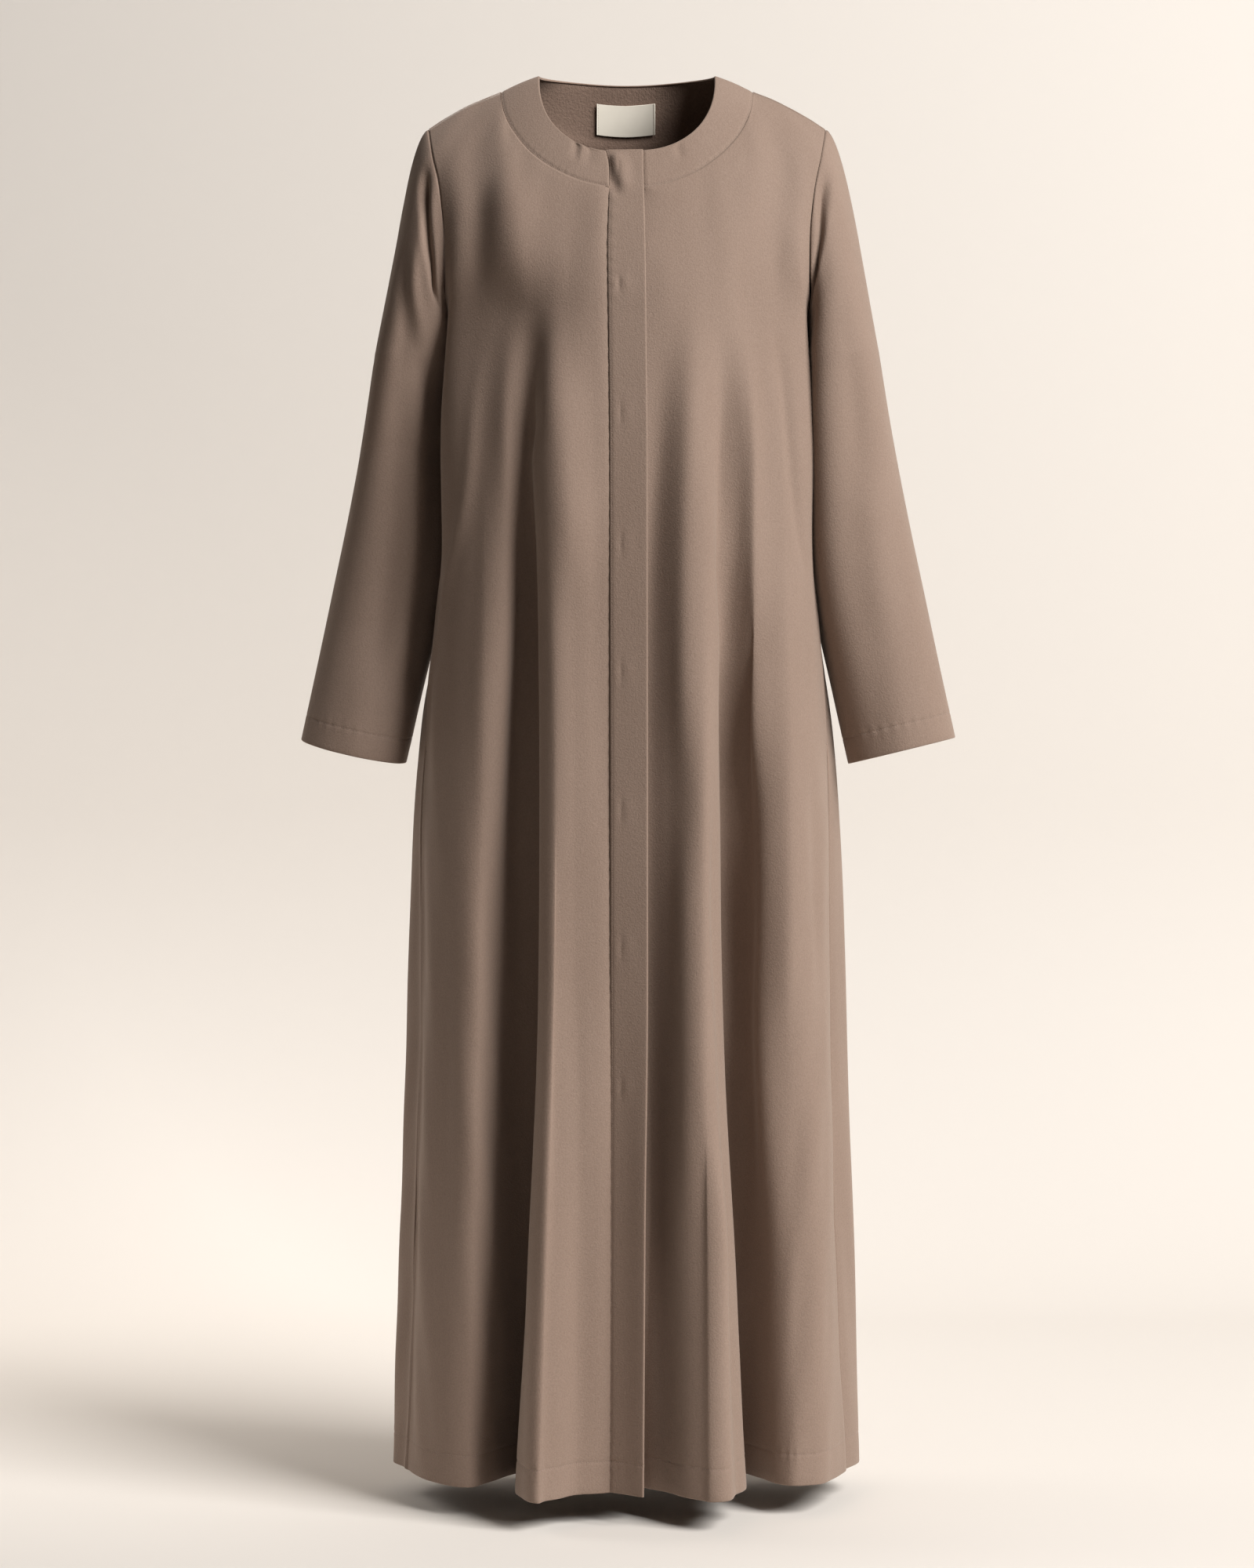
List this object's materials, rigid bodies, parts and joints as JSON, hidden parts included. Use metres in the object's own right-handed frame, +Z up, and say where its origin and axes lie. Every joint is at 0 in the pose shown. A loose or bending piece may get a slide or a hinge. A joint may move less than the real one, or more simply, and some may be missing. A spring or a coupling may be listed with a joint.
{
  "type": "abaya cloak",
  "caption": "Full-length loose cloak worn over other clothes, with a round neck band, long sleeves, side-seam pockets and a front closed by hidden buttons under a band.",
  "frame": {"origin": "midway between the two high points of the shoulders, where the wearer's shoulders hold the cloak up", "axes": "+Z up, -Y the way the wearer faces, +X towards the wearer's left sleeve"},
  "size_m": [0.674, 0.346, 1.4236],
  "materials": {
    "cloth": "matte crepe, fine pebbled grain with a soft sheen",
    "facing": "matte crepe, seen from its wrong side",
    "label": "ivory satin tape, left blank",
    "button": "polished dark brown"
  },
  "bodies": {
    "root": {"front_right": "cloth", "front_left": "cloth", "back": "cloth", "sleeve_right": "cloth", "sleeve_left": "cloth", "neck_band_right": "cloth", "neck_band_left": "cloth", "neck_band_back": "cloth", "button_band": "cloth", "neck_facing": "facing", "neck_label": "label", "pocket_bag_right": "facing", "pocket_bag_left": "facing", "button_1": "button", "button_2": "button", "button_3": "button", "button_4": "button", "button_5": "button", "button_6": "button", "button_7": "button", "button_8": "button"}
  },
  "joints": []
}
